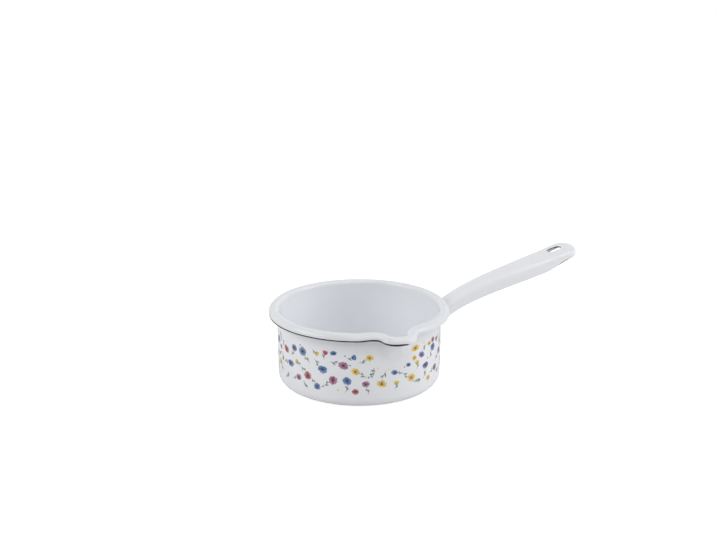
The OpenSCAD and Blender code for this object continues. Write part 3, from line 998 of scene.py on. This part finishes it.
def draw_blossom(sheet, centre, r, ink, inks, rng):
    """Five to eight petals round a dark heart with a ring of dots, seen a little from the side."""
    start, count = rng.uniform(0, math.tau), rng.choice((5, 5, 6, 8))
    squash = (rng.uniform(-0.5, 0.5), rng.uniform(0.62, 0.95))
    warm = ink is inks["yellow"] or ink is inks["amber"]
    root = blend(inks["amber"], inks["yellow"], 0.4) if warm else shade(ink, 0.5)
    for k in range(count):
        a = start + math.tau * (k + rng.uniform(-0.06, 0.06)) / count
        tip = pale(shade(ink, rng.uniform(0.85, 1.15)), rng.uniform(0.05, 0.45))
        draw_petal(
            sheet, centre, a, 0.0, r * rng.uniform(0.88, 1.05), r * 5.0 / (count + 0.3),
            k % 2, root, tip, squash,
        )
    heart = shade(inks["amber"], 0.2) if warm else inks["navy"]
    draw_disc(sheet, centre, r * 0.21, 3, heart, heart)
    for k in range(7):
        spot = ahead(centre, start + 0.4 + math.tau * k / 7, r * 0.42)
        draw_disc(sheet, spot, r * 0.055, 3, heart, heart)


def draw_picked(sheet, centre, r, ink, inks, rng):
    """A picked flower that lies at any angle: a thin bent stem with two leaves, and its head."""
    a = rng.uniform(0, math.tau)
    head = ahead(centre, a, r * 0.42)
    stem = bent_path(head, a + math.pi, r * 1.4, rng.uniform(-0.9, 0.9), 6)
    sheet.stroke(stem, 0.45 * MM, pale(inks["leaf"], 0.15))
    side = rng.choice((-1, 1))
    draw_leaf(sheet, stem[4], a + side * 0.6, r * 0.42, r * 0.16)
    draw_leaf(sheet, stem[5], a - side * 0.5, r * 0.5, r * 0.16)
    draw_blossom(sheet, head, r * 0.55, ink, inks, rng)


def draw_tulip(sheet, centre, r, ink, inks, rng):
    """A cup of three pointed petals on a bent stem with one leaf."""
    a = rng.uniform(0, math.tau)
    base = ahead(centre, a, -r * 0.1)
    stem = bent_path(base, a + math.pi, r * 0.9, rng.uniform(-0.9, 0.9))
    sheet.stroke(stem, 0.4 * MM, pale(inks["leaf"], 0.3))
    draw_leaf(sheet, stem[3], a + rng.choice((-0.6, 0.6)), r * 0.75, r * 0.3)
    for turn, tone in ((0.42, 0.9), (-0.42, 0.9), (0.0, 1.08)):
        petal = shade(ink, tone)
        draw_petal(
            sheet, base, a + turn, 0.0, r * 0.85, r * 0.5, 2 if turn == 0.0 else 1,
            shade(petal, 0.4), pale(petal, 0.12),
        )


def draw_berries(sheet, centre, r, ink, inks, rng):
    """A bent twig with round berries on short stalks and two small leaves."""
    a = rng.uniform(0, math.tau)
    path = bent_path(ahead(centre, a, -r), a, r * 1.9, rng.uniform(-0.8, 0.8))
    sheet.stroke(path, 0.4 * MM, inks["leaf"])
    for k, node in enumerate(path[1:]):
        side = 1 if k % 2 else -1
        if k in (0, 2):
            draw_leaf(sheet, node, a - side * 0.9, r * 0.5, r * 0.24)
        stalk = bent_path(node, a + side * 0.8, r * 0.32, 0.2, 2)
        sheet.stroke(stalk, 0.3 * MM, inks["leaf"])
        tone = shade(ink, rng.uniform(0.85, 1.15))
        berry = r * rng.uniform(0.13, 0.19)
        draw_disc(sheet, stalk[-1], berry, 2, pale(tone, 0.15), shade(tone, 0.6))


def draw_sprig(sheet, centre, r, ink, inks, rng):
    """A bent stem with paired leaves."""
    a = rng.uniform(0, math.tau)
    path = bent_path(ahead(centre, a, -r), a, r * 1.6, rng.uniform(-0.9, 0.9))
    sheet.stroke(path, 0.35 * MM, inks["leaf"])
    for k, node in enumerate(path[1:5]):
        for side in (1, -1):
            size = r * (0.55 - 0.06 * k)
            draw_leaf(sheet, node, a + side * 0.75, size, size * 0.42)
    draw_leaf(sheet, path[-1], a, r * 0.5, r * 0.2)


# Name, how it is drawn, smallest and largest radius in millimetres, and how many are tried
MOTIFS = (
    ("picked", draw_picked, (5.6, 8.4), 90),
    ("blossom", draw_blossom, (2.6, 4.2), 42),
    ("tulip", draw_tulip, (3.4, 4.8), 36),
    ("berries", draw_berries, (3.2, 4.4), 24),
    ("sprig", draw_sprig, (3.2, 4.6), 30),
    ("dot", None, (0.8, 1.3), 36),
)
TRIES = 260  # for a free place, before a motif is left out
OVERLAP = 0.87  # how near two motifs may lie, as a share of their radii, which few of them fill


def scattered(pan, sizes, root_z, rng):
    """Places for motifs: kind, distance along the wall, height and radius, none touching."""
    half_way = math.pi * pan.wall_r
    handle_at = QUARTER * pan.wall_r
    spots, wanted = [], []
    for kind, _, (low, high), count in MOTIFS:
        wanted += [(kind, rng.uniform(low, high) * MM) for _ in range(count)]
    wanted.sort(key=lambda item: -item[1])
    for kind, r in wanted:
        for _ in range(TRIES):
            along = rng.uniform(-half_way, half_way)
            z = rng.uniform(sizes.low + r, sizes.high - r)
            if abs(along - handle_at) < sizes.root_clear + r and z + r > root_z:
                continue
            if abs(along) < sizes.lip_clear + r and z + r > sizes.lip_low:
                continue
            for _, other, height, other_r in spots:
                gap = abs(along - other)
                gap = min(gap, 2 * half_way - gap)
                if math.hypot(gap, z - height) < OVERLAP * (r + other_r) + sizes.gap:
                    break
            else:
                spots.append((kind, along, z, r))
                break
    return spots


class SAUCEPAN_OT_print(bpy.types.Operator):
    """Make the scattered flower print on the pan's wall"""

    bl_idname = "saucepan.print"
    bl_label = "Flower print"

    def execute(self, context):
        pan, handle, _ = shapes(context.scene)
        sizes = context.scene.saucepan_print
        names = ("yellow", "amber", "pink", "coral", "violet", "blue", "navy", "leaf")
        inks = {name: list(getattr(sizes, name)) for name in names}
        petals = ["yellow", "blue", "coral", "yellow", "pink", "violet", "yellow", "blue"]
        rng = random.Random(sizes.seed)
        spots = scattered(pan, sizes, handle.root_z - 20 * MM, rng)
        if len(spots) < 60:
            raise RuntimeError("The print's band is too small for its motifs")
        material = fired_ink("ceramic_transfer_ink")
        for kind, draw, _, _ in MOTIFS:
            sheet = InkSheet(pan, sizes.proud, inks["leaf"], rng)
            order = petals[:]
            for spot in (s for s in spots if s[0] == kind):
                if not order:
                    order = petals[:]
                ink = inks[order.pop(rng.randrange(len(order)))]
                _, along, z, r = spot
                if draw:
                    draw(sheet, (along, z), r, ink, inks, rng)
                else:
                    draw_disc(sheet, (along, z), r * 0.6, 0, pale(ink, 0.2), ink)
            put(
                f"print_{kind}", sheet.points, sheet.faces, material, "white_enamel",
                tints=sheet.inks,
            )
        return {"FINISHED"}


class SAUCEPAN_OT_studio(bpy.types.Operator):
    """Make the pale floor, the soft lights, the white surroundings and the camera"""

    bl_idname = "saucepan.studio"
    bl_label = "Studio"

    def execute(self, context):
        scene = context.scene
        finish = scene.saucepan_finish
        material, tree = fresh_material("studio_paper")
        # Matt seamless paper, which the camera sees as white with the object's shadow on it
        ray = add(tree, "ShaderNodeLightPath")
        paper = add(tree, "ShaderNodeBsdfDiffuse", {"Color": list(finish.floor)})
        faint = add(tree, "ShaderNodeBsdfDiffuse", {"Color": [0.34, 0.34, 0.35, 1.0]})
        glow = add(tree, "ShaderNodeEmission", {"Color": WHITE, "Strength": 0.86})
        seen = add(tree, "ShaderNodeAddShader", _0=faint, _1=glow)
        both = add(
            tree, "ShaderNodeMixShader", Fac=ray.outputs["Is Camera Ray"], _1=paper, _2=seen
        )
        add(tree, "ShaderNodeOutputMaterial", Surface=both)
        # A round floor of 3 m radius, 0.2 mm under the base so that no two faces coincide
        mesh = bpy.data.meshes.new("studio_floor")
        outline = arc((0.0, 0.0), 3.0, 0.0, math.tau, FLOOR_STEPS)[:-1]
        mesh.from_pydata([(x, y, -0.2 * MM) for x, y in outline], [], [range(FLOOR_STEPS)])
        mesh.materials.append(material)
        floor = placed("studio_floor", mesh)

        world = bpy.data.worlds.new("studio_surround")
        world.use_nodes = True
        tree = world.node_tree
        tree.nodes.clear()
        ray = add(tree, "ShaderNodeLightPath")
        white = add(tree, "ShaderNodeBackground", {"Color": WHITE})
        # The tent is bright at the sides and behind, dimmer overhead, and dark at its opening
        around = add(
            tree, "ShaderNodeMapping", {"Rotation": [0.0, 0.0, math.radians(128.0)]},
            Vector=add(tree, "ShaderNodeTexCoord").outputs["Generated"],
        )
        seen_from = add(tree, "ShaderNodeSeparateXYZ", Vector=around)
        falls = [
            add(
                tree, "ShaderNodeMapRange",
                {"interpolation_type": "SMOOTHSTEP", "From Min": start, "From Max": end,
                 "To Min": full, "To Max": dim},
                Value=seen_from.outputs[axis],
            )
            for axis, start, end, full, dim in (
                ("X", -0.1, 0.85, 0.83, 0.05), ("Z", 0.2, 0.9, 1.0, 0.66)
            )
        ]
        dimmed = add(tree, "ShaderNodeMath", {"operation": "MULTIPLY"}, _0=falls[0], _1=falls[1])
        soft = add(
            tree, "ShaderNodeBackground", {"Color": [1.0, 0.982, 0.998, 1.0]}, Strength=dimmed
        )
        both = add(
            tree, "ShaderNodeMixShader", Fac=ray.outputs["Is Camera Ray"], _1=soft, _2=white
        )
        add(tree, "ShaderNodeOutputWorld", Surface=both)
        scene.world = world

        # Name, place, width in metres and power in watts; all aim at the pan's lower middle
        for name, place, size, power in (
            ("soft_box_left", (-0.95, 0.05, 0.6), 0.7, 4.1),
            ("soft_box_right", (0.95, -0.6, 0.5), 0.6, 3.2),
            ("soft_box_front", (-0.2, -0.8, 1.0), 0.8, 3.4),
            ("soft_box_top", (0.45, -0.3, 0.95), 0.35, 0.85),
        ):
            lamp = bpy.data.lights.new(name, "AREA")
            lamp.shape = "RECTANGLE"
            lamp.size = lamp.size_y = size
            lamp.energy = power
            box = placed(name, lamp)
            box.location = place
            aim = Vector((0.02, 0.0, 0.03)) - Vector(place)
            box.rotation_euler = aim.to_track_quat("-Z", "Y").to_euler()

        camera = bpy.data.cameras.new("photo_camera")
        camera.lens = 59.34
        camera.sensor_width = 36.0
        camera.clip_start, camera.clip_end = 0.01, 20.0
        eye = placed("photo_camera", camera)
        eye.location = (-0.3974, -0.8499, 0.3809)
        eye.rotation_euler = (math.radians(90 - 16.94), 0.0, math.radians(-25.0))
        scene.camera = eye
        scene.view_settings.view_transform = "Standard"
        return {"FINISHED"}


class SAUCEPAN_PT_panel(bpy.types.Panel):
    """Lists the steps that make the saucepan"""

    bl_label = "Saucepan"
    bl_idname = "SAUCEPAN_PT_panel"
    bl_space_type = "VIEW_3D"
    bl_region_type = "UI"
    bl_category = "Saucepan"

    def draw(self, context):
        for operator in OPERATORS:
            self.layout.operator(operator.bl_idname)
        for name in GROUPS:
            box = self.layout.box()
            settings = getattr(context.scene, name)
            for key in settings.bl_rna.properties.keys():
                if key not in {"rna_type", "name"}:
                    box.prop(settings, key)


GROUPS = {
    "saucepan_pan": SAUCEPAN_PG_pan,
    "saucepan_handle": SAUCEPAN_PG_handle,
    "saucepan_print": SAUCEPAN_PG_print,
    "saucepan_finish": SAUCEPAN_PG_finish,
}
OPERATORS = (
    SAUCEPAN_OT_pan,
    SAUCEPAN_OT_rim_edge,
    SAUCEPAN_OT_handle_top,
    SAUCEPAN_OT_slot_edge,
    SAUCEPAN_OT_handle_under,
    SAUCEPAN_OT_tip_edge,
    SAUCEPAN_OT_welds,
    SAUCEPAN_OT_print,
    SAUCEPAN_OT_studio,
)
CLASSES = (*GROUPS.values(), *OPERATORS, SAUCEPAN_PT_panel)


def register():
    for kind in CLASSES:
        bpy.utils.register_class(kind)
    for name, group in GROUPS.items():
        setattr(bpy.types.Scene, name, bpy.props.PointerProperty(type=group))


def unregister():
    for name in GROUPS:
        delattr(bpy.types.Scene, name)
    for kind in reversed(CLASSES):
        bpy.utils.unregister_class(kind)


def main():
    register()
    for operator in OPERATORS:
        family, name = operator.bl_idname.split(".")
        getattr(getattr(bpy.ops, family), name)()


if __name__ == "__main__":
    main()
